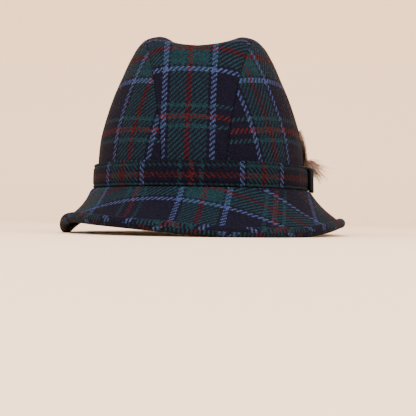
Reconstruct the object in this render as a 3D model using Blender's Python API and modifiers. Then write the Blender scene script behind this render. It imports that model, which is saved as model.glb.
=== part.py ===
"""A trilby of tartan wool cloth, resting on its brim.

The crown is cut from three panels: one strip that runs from the front over the dented top to the back,
and a panel on each side. A folded band of the same cloth covers the joint with the brim. The brim has a
corded edge, is snapped down at the front and sides and turned up at the back. A glossy clasp on the
wearer's left holds a small bunch of feathers to the band.

Metres, +Z up. The front faces -Y, the wearer's left is +X. The origin lies on the surface that the hat
stands on, under the middle of the brim.
"""

import math
from collections import namedtuple

import bmesh
import bpy
import numpy as np
from mathutils import Vector

# Crown
HEAD_WIDTH = 0.165
HEAD_LENGTH = 0.204
CROWN_HEIGHT = 0.119
CROWN_CLOTH = 0.0025
RIDGE_RISE = 0.0045
FRONT_ROUNDING = 0.0025
DENT_DEPTH = 0.020
DENT_HALF_LENGTH = 0.030
DENT_CENTRE = 0.006
DENT_END_LIFT = 0.0024
JOINT_HEIGHT = 0.034
CROWN_ASIDE = -0.0022
CROWN_LEAN = -0.0004

# Band
BAND_HEIGHT = 0.0185
BAND_CLOTH = 0.0028

# Brim
BRIM_CLOTH = 0.003
BRIM_LEDGE = 0.0002
BRIM_WIDTH = 0.2155
BRIM_LENGTH = 0.288
BRIM_SAG = 0.0022
BRIM_SQUARENESS = 2.12
CORD_RADIUS = 0.00375

# Clasp and feathers
CLASP_WIDTH = 0.024
CLASP_HEIGHT = 0.018
CLASP_DEPTH = 0.0045
CLASP_CORNER = 0.0017
CLASP_TOE = 0.0024
CLASP_FORWARD = 0.010
PLUME_HEAD_RADIUS = 0.0032
FEATHER_LENGTH = 0.068
FEATHER_WIDTH = 0.013
FEATHER_LIFT = 0.003
FEATHER_THICKNESS = 0.0012
LOCK_LENGTH = 0.017
LOCK_WIDTH = 0.0031
LOCK_THICKNESS = 0.0013

# Clearance between pieces that touch on the real hat
SEAT_GAP = 0.0003
SEAM_GAP = 0.0006

# Shares that shape the feathers: how much fuller they stand at the middle, where along them they lie
# against the wall, how their thickness and a lock's width and thickness taper, how far a lock droops and
# how far out of the head it starts
FEATHER_BULGE = 0.7
FEATHER_REACH_WALL = 0.35
FEATHER_TAPER = 0.45
LOCK_TAPER = 0.75
LOCK_DROOP = 0.22
LOCK_START = 0.75

# Shares that keep sections well formed: the shoulder of a blade, and the least spread of a mitred corner
BLADE_SHOULDER = 0.4
MITRE_LEAST = 0.6

# Mesh fineness
STRIP_HALF_COLUMNS = 5
SIDE_COLUMNS = 13
WALL_RINGS = 13
BRIM_COLUMNS = 72
BRIM_RINGS = 6
CORD_SIDES = 12
CLASP_BENDS = 5
HEAD_SEGMENTS = 12
HEAD_RINGS = 8
FEATHER_STEPS = 8
LOCK_STEPS = 5
SHARP_ANGLE = 50.0
SLOPE_STEP = 0.05

# Sections of the crown's wall, from the brim joint to the seams along the top. Height is a share of the
# crown's height, width and seam are shares of half the head's width, and front and back are shares of half
# its length. The seam column is how far the strip's seams lie from the middle.
Section = namedtuple("Section", "height width front back squareness seam")
WALL = [
    Section(0.00, 1.000, 1.000, 1.000, 2.15, 0.272),
    Section(0.17, 0.989, 0.990, 0.994, 2.15, 0.280),
    Section(0.34, 0.963, 0.970, 0.972, 2.20, 0.296),
    Section(0.47, 0.912, 0.940, 0.935, 2.25, 0.316),
    Section(0.61, 0.843, 0.900, 0.884, 2.30, 0.347),
    Section(0.74, 0.762, 0.855, 0.830, 2.38, 0.378),
    Section(0.88, 0.670, 0.796, 0.766, 2.50, 0.424),
    Section(0.96, 0.598, 0.752, 0.722, 2.62, 0.462),
    Section(1.00, 0.540, 0.724, 0.694, 2.70, 0.486),
]

# Height of the crown's top edge round the hat, as a share of the crown's height. The turn is from the
# front, in degrees.
Crest = namedtuple("Crest", "turn height")
CREST = [
    Crest(0, 0.864),
    Crest(15, 0.878),
    Crest(32, 0.901),
    Crest(55, 0.939),
    Crest(75, 0.971),
    Crest(92, 0.982),
    Crest(115, 0.975),
    Crest(140, 0.935),
    Crest(180, 0.895),
]

# Profile across the top, from the top edge inward to the bottom of the dent. The ridge column is a share
# of the ridge's rise, and the fall column is a share of the way down into the dent.
TopRow = namedtuple("TopRow", "inward ridge fall")
TOP = [
    TopRow(0.00, 0.00, 0.00),
    TopRow(0.13, 0.62, 0.00),
    TopRow(0.30, 1.00, 0.01),
    TopRow(0.46, 0.88, 0.12),
    TopRow(0.63, 0.48, 0.42),
    TopRow(0.81, 0.12, 0.80),
    TopRow(1.00, 0.00, 1.00),
]

# Height of the brim's corded edge round the hat: the middle of the cord above the surface, as a share of
# the joint's height. Turns to the wearer's left are positive.
Edge = namedtuple("Edge", "turn height")
EDGE = [
    Edge(-168, 1.38),
    Edge(-148, 0.98),
    Edge(-132, 0.67),
    Edge(-116, 0.480),
    Edge(-104, 0.350),
    Edge(-94, 0.210),
    Edge(-84, 0.084),
    Edge(-75, 0.160),
    Edge(-66, 0.290),
    Edge(-55, 0.345),
    Edge(-38, 0.305),
    Edge(-22, 0.250),
    Edge(-6, 0.180),
    Edge(10, 0.115),
    Edge(24, 0.092),
    Edge(40, 0.105),
    Edge(56, 0.180),
    Edge(72, 0.275),
    Edge(88, 0.275),
    Edge(106, 0.180),
    Edge(122, 0.083),
    Edge(136, 0.285),
    Edge(152, 0.900),
    Edge(168, 1.380),
    Edge(180, 1.480),
]

# Section of the folded band: how far up it and how far out of its cloth each corner lies.
BandCorner = namedtuple("BandCorner", "up out")
BAND_SECTION = [
    BandCorner(0.0, 0.0),
    BandCorner(0.5, 0.0),
    BandCorner(1.0, 0.0),
    BandCorner(0.985, 0.62),
    BandCorner(0.88, 0.94),
    BandCorner(0.5, 1.0),
    BandCorner(0.12, 0.94),
    BandCorner(0.015, 0.62),
]

# Feathers that lie up the side of the crown from the clasp. Lean is the angle from upright towards the
# back of the hat, in degrees, and the rest are shares of the named feather sizes.
Feather = namedtuple("Feather", "lean length width lift")
FEATHERS = [
    Feather(84, 0.85, 0.92, 1.00),
    Feather(73, 1.00, 1.00, 0.88),
    Feather(62, 0.80, 1.00, 0.78),
    Feather(46, 0.56, 0.85, 0.70),
    Feather(22, 0.44, 0.66, 0.64),
]

# Width of a feather along its length, both as shares.
Vane = namedtuple("Vane", "along width")
VANE = [Vane(0.0, 0.20), Vane(0.2, 0.74), Vane(0.5, 1.0), Vane(0.8, 0.76), Vane(1.0, 0.16)]

# Locks of down at the foot of the feathers. Out is the angle away from upright, and back is the angle
# towards the back of the hat, in degrees. Length is a share of the longest lock.
Lock = namedtuple("Lock", "out back length")
TUFT = [
    Lock(72, -34, 0.65),
    Lock(92, -14, 0.80),
    Lock(106, -28, 0.80),
    Lock(116, 4, 0.95),
    Lock(108, 30, 0.92),
    Lock(90, 36, 1.00),
    Lock(76, 16, 0.76),
]

CLOTH_COLOUR = (0.030, 0.045, 0.060)
BAND_COLOUR = (0.035, 0.030, 0.045)
CLASP_COLOUR = (0.008, 0.008, 0.010)
FEATHER_COLOUR = (0.22, 0.11, 0.055)


def clear_scene():
    for obj in list(bpy.data.objects):
        bpy.data.objects.remove(obj)


def material(name, colour, roughness):
    made = bpy.data.materials.new(name)
    made.use_nodes = True
    shader = made.node_tree.nodes["Principled BSDF"]
    shader.inputs["Base Color"].default_value = (*colour, 1.0)
    shader.inputs["Roughness"].default_value = roughness
    shader.inputs["Metallic"].default_value = 0.0
    made.diffuse_color = (*colour, 1.0)
    return made


def smooth(at, knots, values):
    """A smooth curve through (knots, values), read at each place in at."""
    at, knots, values = (np.asarray(each, float) for each in (at, knots, values))
    slopes = np.gradient(values, knots)
    span = np.clip(np.searchsorted(knots, at, side="right") - 1, 0, len(knots) - 2)
    width = knots[span + 1] - knots[span]
    t = (at - knots[span]) / width
    return (
        (1 + 2 * t) * (1 - t) ** 2 * values[span]
        + t * (1 - t) ** 2 * width * slopes[span]
        + t * t * (3 - 2 * t) * values[span + 1]
        - t * t * (1 - t) * width * slopes[span + 1]
    )


def column(table, name):
    return np.array([getattr(row, name) for row in table], float)


def signed_power(value, exponent):
    return np.sign(value) * np.abs(value) ** exponent


def crest_share(turn):
    """The top edge's height at a turn from the front, in radians, on either side."""
    return smooth(np.degrees(np.abs(turn)), column(CREST, "turn"), column(CREST, "height"))


def wall_sizes(height):
    """Half width, front reach, back reach, roundness and seam distance of the wall at a height share."""
    heights = column(WALL, "height")
    half_width = HEAD_WIDTH / 2 * smooth(height, heights, column(WALL, "width"))
    front = HEAD_LENGTH / 2 * smooth(height, heights, column(WALL, "front"))
    back = HEAD_LENGTH / 2 * smooth(height, heights, column(WALL, "back"))
    power = 2 / smooth(height, heights, column(WALL, "squareness"))
    seam = HEAD_WIDTH / 2 * smooth(height, heights, column(WALL, "seam"))
    return half_width, front, back, power, seam


def wall_point(height, turn, outward=0.0):
    """A point of the crown's outer face. The turn is from the front, in radians, and positive to +X."""
    half_width, front, back, power, _ = wall_sizes(height)
    reach = np.where(np.cos(turn) > 0, front, back)
    x = CROWN_ASIDE + CROWN_LEAN * height + (half_width + outward) * signed_power(np.sin(turn), power)
    y = -(reach + outward) * signed_power(np.cos(turn), power)
    z = JOINT_HEIGHT + SEAT_GAP + height * (CROWN_HEIGHT - SEAT_GAP) * crest_share(turn)
    return np.array([x, y, z])


def ring_turns(height):
    """Turns of a ring's columns, all round: the strip's, the side panel's and the strip's again."""
    half_width, _, _, power, seam = wall_sizes(height)
    at_seam = math.asin((seam / half_width) ** (1 / power))
    front = np.linspace(0, at_seam, STRIP_HALF_COLUMNS + 1)
    side = np.linspace(at_seam, math.pi - at_seam, SIDE_COLUMNS + 1)
    back = np.linspace(math.pi - at_seam, math.pi, STRIP_HALF_COLUMNS + 1)
    half = np.concatenate([front, side[1:], back[1:]])
    return np.concatenate([half, -half[-2:0:-1]])


def crown_rings():
    """Points of the crown's outer face, [ring][column], from the joint up and over into the dent."""
    rings = []
    for height in np.sin(np.linspace(0, math.pi / 2, WALL_RINGS + 1)):
        rings.append([wall_point(height, turn) for turn in ring_turns(height)])
    edge = rings[-1]
    turns = ring_turns(1.0)
    for row in TOP[1:]:
        ring = []
        for start, turn in zip(edge, turns):
            ridge = RIDGE_RISE * math.sin(turn) ** 2 + FRONT_ROUNDING * math.cos(turn) ** 2
            bottom = JOINT_HEIGHT + CROWN_HEIGHT - DENT_DEPTH + DENT_END_LIFT * math.cos(turn) ** 2
            along = DENT_CENTRE - DENT_HALF_LENGTH * (1 - 2 * abs(turn) / math.pi)
            end = np.array([CROWN_ASIDE + CROWN_LEAN, along, bottom])
            point = start + row.inward * (end - start)
            point[2] = start[2] + row.ridge * ridge + row.fall * (bottom - start[2])
            ring.append(point)
        rings.append(ring)
    return rings


def crown_faces():
    """Quads of the crown as (ring, column) corners. The dent's bottom line is shared by both sides."""
    columns = 2 * (2 * STRIP_HALF_COLUMNS + SIDE_COLUMNS)
    last = WALL_RINGS + len(TOP) - 1

    def corner(ring, col):
        col %= columns
        return (ring, min(col, columns - col) if ring == last else col)

    faces = {}
    for ring in range(last):
        for col in range(columns):
            around = [(ring, col), (ring, col + 1), (ring + 1, col + 1), (ring + 1, col)]
            faces[ring, col] = [corner(*each) for each in around]
    return faces


def inner_points(points, faces, thickness):
    """Each point moved inward by the wall's thickness, mitred where faces meet at an angle."""
    normals = {}
    for face in faces.values():
        p = [points[key] for key in face]
        normal = np.cross(p[2] - p[0], p[3] - p[1])
        normal /= max(np.linalg.norm(normal), 1e-12)
        for key in face:
            normals.setdefault(key, []).append(normal)
    moved = {}
    for key, around in normals.items():
        mean = np.mean(around, axis=0)
        mean /= np.linalg.norm(mean)
        spread = np.mean([mean @ each for each in around])
        moved[key] = points[key] - mean * thickness / max(spread, MITRE_LEAST)
    return moved


def add_mesh(name, vertices, faces, finish):
    mesh = bpy.data.meshes.new(name)
    mesh.from_pydata([tuple(float(v) for v in each) for each in vertices], [], faces)
    form = bmesh.new()
    form.from_mesh(mesh)
    bmesh.ops.recalc_face_normals(form, faces=form.faces)
    form.to_mesh(mesh)
    form.free()
    obj = bpy.data.objects.new(name, mesh)
    hat.objects.link(obj)
    mesh.materials.append(finish)
    shade(mesh)
    return obj


def shade(mesh):
    mesh.shade_smooth()
    mesh.set_sharp_from_angle(angle=math.radians(SHARP_ANGLE))


def crown_panel(name, outer, inner, faces, seams):
    """One cut panel as a closed wall, drawn back from its seams by half the seam gap."""
    keys = sorted({key for face in faces for key in face})
    index = {key: n for n, key in enumerate(keys)}
    layers = []
    for points in (outer, inner):
        layer = []
        for key in keys:
            if key not in seams:
                layer.append(points[key])
                continue
            inside = [k for face in faces if key in face for k in face if k not in seams]
            towards = np.mean([points[k] for k in inside], axis=0) - points[key]
            layer.append(points[key] + towards / np.linalg.norm(towards) * SEAM_GAP / 2)
        layers.append(layer)
    edges = [(f[n], f[(n + 1) % len(f)]) for f in faces for n in range(len(f))]
    rim = [edge for edge in edges if edge[::-1] not in set(edges)]
    count = len(keys)
    polygons = [[index[key] for key in face] for face in faces]
    polygons += [[index[key] + count for key in reversed(face)] for face in faces]
    polygons += [[index[b], index[a], index[a] + count, index[b] + count] for a, b in rim]
    return add_mesh(name, layers[0] + layers[1], polygons, cloth)


def crown():
    rings = crown_rings()
    faces = crown_faces()
    outer = {key: np.asarray(rings[key[0]][key[1]]) for face in faces.values() for key in face}
    inner = inner_points(outer, faces, CROWN_CLOTH)
    for key in [key for key in inner if key[0] == 0]:
        inner[key][2] = outer[key][2]
    half = 2 * STRIP_HALF_COLUMNS + SIDE_COLUMNS
    first, last = STRIP_HALF_COLUMNS, STRIP_HALF_COLUMNS + SIDE_COLUMNS
    sides = {
        "crown_side_left": range(first, last),
        "crown_side_right": range(2 * half - last, 2 * half - first),
    }
    seams = set()
    for columns in sides.values():
        for ends in (columns.start, columns.stop):
            seams |= {(ring, ends) for ring in range(WALL_RINGS + 1)}
        seams |= {(WALL_RINGS, col) for col in range(columns.start, columns.stop + 1)}
    taken = set()
    for name, columns in sides.items():
        wall = {(ring, col) for ring in range(WALL_RINGS) for col in columns}
        crown_panel(name, outer, inner, [faces[key] for key in sorted(wall)], seams)
        taken |= wall
    strip = [faces[key] for key in sorted(faces) if key not in taken]
    crown_panel("crown_strip", outer, inner, strip, seams)


def ring_solid(name, sections, finish):
    """A closed ring lofted through sections, which are loops of points all of one length."""
    count, size = len(sections), len(sections[0])
    faces = []
    for ring in range(count):
        for n in range(size):
            a, b = ring * size + n, ring * size + (n + 1) % size
            faces.append([a, b, (b + size) % (count * size), (a + size) % (count * size)])
    return add_mesh(name, [p for section in sections for p in section], faces, finish)


def brim_edge(turn):
    """Middle of the brim's cord at a turn from the front, in radians."""
    degrees = (math.degrees(turn) + 180) % 360 - 180
    turns, heights = column(EDGE, "turn"), column(EDGE, "height")
    turns = np.concatenate([turns[-2:] - 360, turns, turns[:2] + 360])
    heights = np.concatenate([heights[-2:], heights, heights[:2]])
    power = 2 / BRIM_SQUARENESS
    return np.array(
        [
            BRIM_WIDTH / 2 * signed_power(math.sin(turn), power),
            -BRIM_LENGTH / 2 * signed_power(math.cos(turn), power),
            JOINT_HEIGHT * float(smooth(degrees, turns, heights)),
        ]
    )


def brim_turns():
    return [2 * math.pi * n / BRIM_COLUMNS for n in range(BRIM_COLUMNS)]


def edge_direction(turn):
    """The way the brim's cord runs at a turn."""
    step = math.pi / BRIM_COLUMNS
    along = brim_edge(turn + step) - brim_edge(turn - step)
    return along / np.linalg.norm(along)


def brim_section(turn):
    """Middle of the brim's cloth, from under the crown's wall out to the cord."""
    joint = wall_point(0.0, turn)
    edge = brim_edge(turn)
    outward = np.array([edge[0] - joint[0], edge[1] - joint[1], 0.0])
    outward /= np.linalg.norm(outward)
    top = np.array([joint[0], joint[1], JOINT_HEIGHT - BRIM_CLOTH / 2])
    ledge_end = top + outward * (SEAT_GAP + BAND_CLOTH + BRIM_LEDGE)
    points = [top - outward * CROWN_CLOTH, ledge_end]
    slant = edge - ledge_end
    square_run = np.linalg.norm(np.cross(slant, edge_direction(turn)))
    reach = 1 - (CORD_RADIUS + 2 * SEAT_GAP) / square_run
    sunk = outward * slant[2] - np.array([0.0, 0.0, slant @ outward])
    sunk /= np.linalg.norm(sunk)
    for n in range(1, BRIM_RINGS + 1):
        share = reach * n / BRIM_RINGS
        points.append(ledge_end + share * slant + sunk * 4 * BRIM_SAG * share * (1 - share))
    return points


def brim():
    sections = [brim_section(turn) for turn in brim_turns()]
    size = len(sections[0])
    faces = []
    for ring in range(BRIM_COLUMNS):
        after = (ring + 1) % BRIM_COLUMNS
        for n in range(size - 1):
            faces.append([ring * size + n, after * size + n, after * size + n + 1, ring * size + n + 1])
    obj = add_mesh("brim", [p for s in sections for p in s], faces, cloth)
    wall = obj.modifiers.new("Cloth", "SOLIDIFY")
    wall.thickness = BRIM_CLOTH
    wall.offset = 0.0
    wall.use_even_offset = True


def brim_cord():
    """The corded edge, flattened where it rests."""
    sections = []
    for turn in brim_turns():
        middle = brim_edge(turn)
        along = edge_direction(turn)
        side = np.cross(along, (0, 0, 1))
        side /= np.linalg.norm(side)
        up = np.cross(side, along)
        loop = []
        for n in range(CORD_SIDES):
            angle = 2 * math.pi * (n + 0.5) / CORD_SIDES - math.pi / 2
            point = middle + CORD_RADIUS * (side * math.cos(angle) + up * math.sin(angle))
            point[2] = max(point[2], 0.0)
            loop.append(point)
        sections.append(loop)
    ring_solid("brim_cord", sections, cloth)


def band():
    """The folded band round the foot of the crown, a little fuller at its middle than at its edges."""
    sections = []
    for turn in brim_turns():
        loop = []
        for corner in BAND_SECTION:
            rise = corner.up * BAND_HEIGHT
            point = wall_point(rise / CROWN_HEIGHT, turn, SEAT_GAP + corner.out * BAND_CLOTH)
            point[2] = JOINT_HEIGHT + SEAT_GAP + rise
            loop.append(point)
        sections.append(loop)
    ring_solid("hat_band", sections, band_cloth)


def side_turn(y):
    """The turn at which the foot of the crown's left side lies at a given y."""
    _, front, back, power, _ = wall_sizes(0.0)
    return math.acos(signed_power(-y / (front if y < 0 else back), 1 / power))


def clasp():
    """A glossy keeper bent round the band, its corners rounded and its outer face hanging a bit lower."""
    mesh = bpy.data.meshes.new("feather_clasp")
    form = bmesh.new()
    bmesh.ops.create_cube(form, size=1.0)
    along = [edge for edge in form.edges if edge.verts[0].co.x * edge.verts[1].co.x < 0]
    along = [edge for edge in along if edge.verts[0].co.yz == edge.verts[1].co.yz]
    bmesh.ops.subdivide_edges(form, edges=along, cuts=CLASP_BENDS, use_grid_fill=True)
    for vert in form.verts:
        forward, away, up = vert.co.x, vert.co.y + 0.5, vert.co.z + 0.5
        turn = side_turn(-CLASP_FORWARD - forward * CLASP_WIDTH)
        height = up * CLASP_HEIGHT
        point = wall_point(height / CROWN_HEIGHT, turn, BAND_CLOTH + 2 * SEAT_GAP + away * CLASP_DEPTH)
        point[2] = JOINT_HEIGHT + SEAT_GAP + height - CLASP_TOE * away * (1 - up)
        vert.co = point
    form.to_mesh(mesh)
    form.free()
    obj = bpy.data.objects.new("feather_clasp", mesh)
    hat.objects.link(obj)
    mesh.materials.append(gloss)
    rounding = obj.modifiers.new("Corners", "BEVEL")
    rounding.width = min(CLASP_CORNER, CLASP_DEPTH / 2 - SEAT_GAP)
    rounding.segments = 3
    rounding.limit_method = "ANGLE"
    shade(mesh)


def blade(middles, widths, thicks, across):
    """A tapered leaf through a line of points: vertices and faces of a closed solid."""
    flat = BLADE_SHOULDER
    corners = [(1, 0), (flat, 1), (-flat, 1), (-1, 0), (-flat, -1), (flat, -1)]
    vertices, faces = [], []
    for n, (middle, width, thick) in enumerate(zip(middles, widths, thicks)):
        ahead = middles[min(n + 1, len(middles) - 1)] - middles[max(n - 1, 0)]
        ahead /= np.linalg.norm(ahead)
        side = across[n] - ahead * (across[n] @ ahead)
        side /= np.linalg.norm(side)
        face = np.cross(ahead, side)
        for a, b in corners:
            vertices.append(middle + side * a * width / 2 + face * b * thick / 2)
    size = len(corners)
    for n in range(len(middles) - 1):
        for k in range(size):
            a, b = n * size + k, n * size + (k + 1) % size
            faces.append([a, b, b + size, a + size])
    faces.append(list(range(size))[::-1])
    faces.append([(len(middles) - 1) * size + k for k in range(size)])
    return vertices, faces


def plume_frame():
    """Height share, turn and place of the plume's head, which sits over the clasp against the crown."""
    turn = side_turn(-CLASP_FORWARD)
    over = max(CLASP_HEIGHT, BAND_HEIGHT) + SEAT_GAP + PLUME_HEAD_RADIUS
    height = over / (CROWN_HEIGHT * crest_share(turn))
    return height, turn, wall_point(height, turn, PLUME_HEAD_RADIUS + 2 * SEAT_GAP)


def feather(row):
    """One feather from the plume's head, back along the crown's wall at its own lean and lift."""
    foot, turn, root = plume_frame()
    lean, lift = math.radians(row.lean), row.lift * FEATHER_LIFT
    side_radius = (HEAD_WIDTH + HEAD_LENGTH) / 4
    middles, across, widths, thicks = [], [], [], []
    for share in np.linspace(0, 1, FEATHER_STEPS + 1):
        run = row.length * FEATHER_LENGTH * share
        height = foot + run * math.cos(lean) / CROWN_HEIGHT
        around = turn + run * math.sin(lean) / side_radius
        stand = lift * (1 + FEATHER_BULGE * math.sin(math.pi * share) * (1 - share))
        blend = min(1.0, share / FEATHER_REACH_WALL)
        middles.append(root * (1 - blend) + wall_point(height, around, stand) * blend)
        level, rise = (
            wall_point(height + up, around + aside, stand) - wall_point(height - up, around - aside, stand)
            for up, aside in ((0.0, SLOPE_STEP), (SLOPE_STEP, 0.0))
        )
        level /= np.linalg.norm(level)
        rise /= np.linalg.norm(rise)
        across.append(level * math.cos(lean) - rise * math.sin(lean))
        spread = smooth(share, column(VANE, "along"), column(VANE, "width"))
        widths.append(row.width * FEATHER_WIDTH * spread)
        thicks.append(FEATHER_THICKNESS * (1 - FEATHER_TAPER * share))
    return blade(middles, widths, thicks, across)


def lock(row):
    """One lock of down from the outer side of the plume's head, drooping at its tip."""
    _, turn, head = plume_frame()
    back = wall_point(0.0, turn + SLOPE_STEP) - wall_point(0.0, turn - SLOPE_STEP)
    back /= np.linalg.norm(back)
    up = np.array([0.0, 0.0, 1.0])
    away = np.cross(back, up)
    lean, aside = math.radians(row.out), math.radians(row.back)
    ahead = up * math.cos(lean) + (away * math.cos(aside) + back * math.sin(aside)) * math.sin(lean)
    root = head + away * PLUME_HEAD_RADIUS * LOCK_START
    middles, widths, thicks = [], [], []
    for share in np.linspace(0, 1, LOCK_STEPS + 1):
        middles.append(root + row.length * LOCK_LENGTH * (ahead * share - up * LOCK_DROOP * share * share))
        widths.append(LOCK_WIDTH * (1 - LOCK_TAPER * share))
        thicks.append(LOCK_THICKNESS * (1 - LOCK_TAPER * share))
    return blade(middles, widths, thicks, [np.cross(ahead, up)] * len(middles))


def plume():
    """The bunch of feathers, all grown together at its head."""
    mesh = bpy.data.meshes.new("feather_plume")
    form = bmesh.new()
    bmesh.ops.create_uvsphere(
        form, u_segments=HEAD_SEGMENTS, v_segments=HEAD_RINGS, radius=PLUME_HEAD_RADIUS
    )
    form.to_mesh(mesh)
    form.free()
    obj = bpy.data.objects.new("feather_plume", mesh)
    hat.objects.link(obj)
    mesh.materials.append(feather_finish)
    obj.location = Vector(plume_frame()[2])
    grown = [(f"vane_{n}", feather(row)) for n, row in enumerate(FEATHERS)]
    grown += [(f"lock_{n}", lock(row)) for n, row in enumerate(TUFT)]
    for name, (vertices, faces) in grown:
        part = add_mesh(name, vertices, faces, feather_finish)
        hat.objects.unlink(part)
        joined.objects.link(part)
        part.hide_render = True
        part.display_type = "WIRE"
        union = obj.modifiers.new(name, "BOOLEAN")
        union.operation = "UNION"
        union.object = part
    shade(mesh)


clear_scene()
hat = bpy.data.collections.new("wool_trilby")
joined = bpy.data.collections.new("plume_members")
for collection in (hat, joined):
    bpy.context.scene.collection.children.link(collection)
cloth = material("tartan_cloth", CLOTH_COLOUR, 0.95)
band_cloth = material("band_cloth", BAND_COLOUR, 0.95)
gloss = material("gloss_black", CLASP_COLOUR, 0.15)
feather_finish = material("feather", FEATHER_COLOUR, 0.6)
crown()
brim()
brim_cord()
band()
clasp()
plume()
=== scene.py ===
import math
import random
from collections import namedtuple

import bmesh
import bpy
import numpy as np
from mathutils import Matrix, Vector, noise


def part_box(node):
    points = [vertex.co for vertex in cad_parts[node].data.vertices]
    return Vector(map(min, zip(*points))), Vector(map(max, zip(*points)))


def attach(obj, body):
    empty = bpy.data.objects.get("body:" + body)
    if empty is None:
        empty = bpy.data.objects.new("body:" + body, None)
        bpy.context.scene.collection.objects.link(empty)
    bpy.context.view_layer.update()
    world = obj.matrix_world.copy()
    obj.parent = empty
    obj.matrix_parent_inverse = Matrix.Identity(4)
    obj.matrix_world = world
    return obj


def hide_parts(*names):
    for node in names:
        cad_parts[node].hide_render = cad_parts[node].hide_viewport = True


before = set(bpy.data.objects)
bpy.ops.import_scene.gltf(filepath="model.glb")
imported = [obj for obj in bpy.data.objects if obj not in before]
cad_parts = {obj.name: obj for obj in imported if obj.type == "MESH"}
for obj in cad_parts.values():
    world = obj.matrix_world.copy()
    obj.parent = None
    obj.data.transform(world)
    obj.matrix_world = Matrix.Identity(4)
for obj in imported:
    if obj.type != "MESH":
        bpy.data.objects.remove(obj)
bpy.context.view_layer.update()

# Crown. A strip of tartan wool cloth runs from the front over the dented top to the back, with a panel of
# the same cloth on each side. The panels are cut from flat cloth, sewn with their edges turned in, and
# steamed to shape.
SEAT_GAP = 0.0003
BAND_CLOTH = 0.0028
band_low, band_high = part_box("hat_band")
JOINT_HEIGHT = band_low[2] - SEAT_GAP
HEAD_WIDTH = band_high[0] - band_low[0] - 2 * (BAND_CLOTH + SEAT_GAP)
HEAD_LENGTH = band_high[1] - band_low[1] - 2 * (BAND_CLOTH + SEAT_GAP)
CROWN_HEIGHT = 0.119
CROWN_CLOTH = 0.0025
RIDGE_RISE = 0.0045
FRONT_ROUNDING = 0.0025
DENT_DEPTH = 0.020
DENT_HALF_LENGTH = 0.030
DENT_CENTRE = 0.006
DENT_END_LIFT = 0.0024
CROWN_ASIDE = (band_high[0] + band_low[0]) / 2
CROWN_LEAN = -0.0004
SEAM_ROLL = 0.0022
SEAM_SINK = 0.0011
STRIP_HALF_COLUMNS = 16
SIDE_COLUMNS = 64
WALL_RINGS = 44
TOP_RINGS = 24
TOP_CROWDING = 1.25

# Sections of the wall: height is a share of the crown's height, and the rest are shares of half the head's
# width or length. The seam column is how far the strip's seams lie from the middle.
Section = namedtuple("Section", "height width front back squareness seam")
WALL = [
    Section(0.00, 1.000, 1.000, 1.000, 2.15, 0.272),
    Section(0.17, 0.989, 0.990, 0.994, 2.15, 0.280),
    Section(0.34, 0.963, 0.970, 0.972, 2.20, 0.296),
    Section(0.47, 0.912, 0.940, 0.935, 2.25, 0.316),
    Section(0.61, 0.843, 0.900, 0.884, 2.30, 0.347),
    Section(0.74, 0.762, 0.855, 0.830, 2.38, 0.378),
    Section(0.88, 0.670, 0.796, 0.766, 2.50, 0.424),
    Section(0.96, 0.598, 0.752, 0.722, 2.62, 0.462),
    Section(1.00, 0.540, 0.724, 0.694, 2.70, 0.486),
]
# Height of the top edge round the crown, by its turn from the front in degrees.
Crest = namedtuple("Crest", "turn height")
CREST = [
    Crest(0, 0.864),
    Crest(15, 0.878),
    Crest(32, 0.901),
    Crest(55, 0.939),
    Crest(75, 0.971),
    Crest(92, 0.982),
    Crest(115, 0.975),
    Crest(140, 0.935),
    Crest(180, 0.895),
]
# Profile from the top edge inward: share of the ridge's rise, and of the way down into the dent.
TopRow = namedtuple("TopRow", "inward ridge fall")
TOP = [
    TopRow(0.00, 0.00, 0.00),
    TopRow(0.13, 0.62, 0.00),
    TopRow(0.30, 1.00, 0.01),
    TopRow(0.46, 0.88, 0.12),
    TopRow(0.63, 0.48, 0.42),
    TopRow(0.81, 0.12, 0.80),
    TopRow(1.00, 0.00, 1.00),
]


def smooth(at, knots, values):
    """A smooth curve through (knots, values), read at each place in at."""
    at, knots, values = (np.asarray(each, float) for each in (at, knots, values))
    slopes = np.gradient(values, knots)
    span = np.clip(np.searchsorted(knots, at, side="right") - 1, 0, len(knots) - 2)
    width = knots[span + 1] - knots[span]
    t = (at - knots[span]) / width
    return (
        (1 + 2 * t) * (1 - t) ** 2 * values[span]
        + t * (1 - t) ** 2 * width * slopes[span]
        + t * t * (3 - 2 * t) * values[span + 1]
        - t * t * (1 - t) * width * slopes[span + 1]
    )


def column(table, name):
    return np.array([getattr(row, name) for row in table], float)


def read(table, at, by, name):
    return smooth(at, column(table, by), column(table, name))


def signed_power(value, exponent):
    return np.sign(value) * np.abs(value) ** exponent


def unit(vectors):
    return vectors / np.maximum(np.linalg.norm(vectors, axis=-1, keepdims=True), 1e-12)


def wall_point(height, turn, outward=0.0):
    """Points of the crown's outer face. The turn is from the front, in radians, and positive to +X."""
    height, turn, outward = np.broadcast_arrays(height, turn, outward)
    power = 2 / read(WALL, height, "height", "squareness")
    half_width = HEAD_WIDTH / 2 * read(WALL, height, "height", "width")
    front = HEAD_LENGTH / 2 * read(WALL, height, "height", "front")
    back = HEAD_LENGTH / 2 * read(WALL, height, "height", "back")
    reach = np.where(np.cos(turn) > 0, front, back)
    crest = read(CREST, np.degrees(np.abs(turn)), "turn", "height")
    x = CROWN_ASIDE + CROWN_LEAN * height + (half_width + outward) * signed_power(np.sin(turn), power)
    y = -(reach + outward) * signed_power(np.cos(turn), power)
    z = JOINT_HEIGHT + SEAT_GAP + height * (CROWN_HEIGHT - SEAT_GAP) * crest
    return np.stack([x, y, z], axis=-1)


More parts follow.
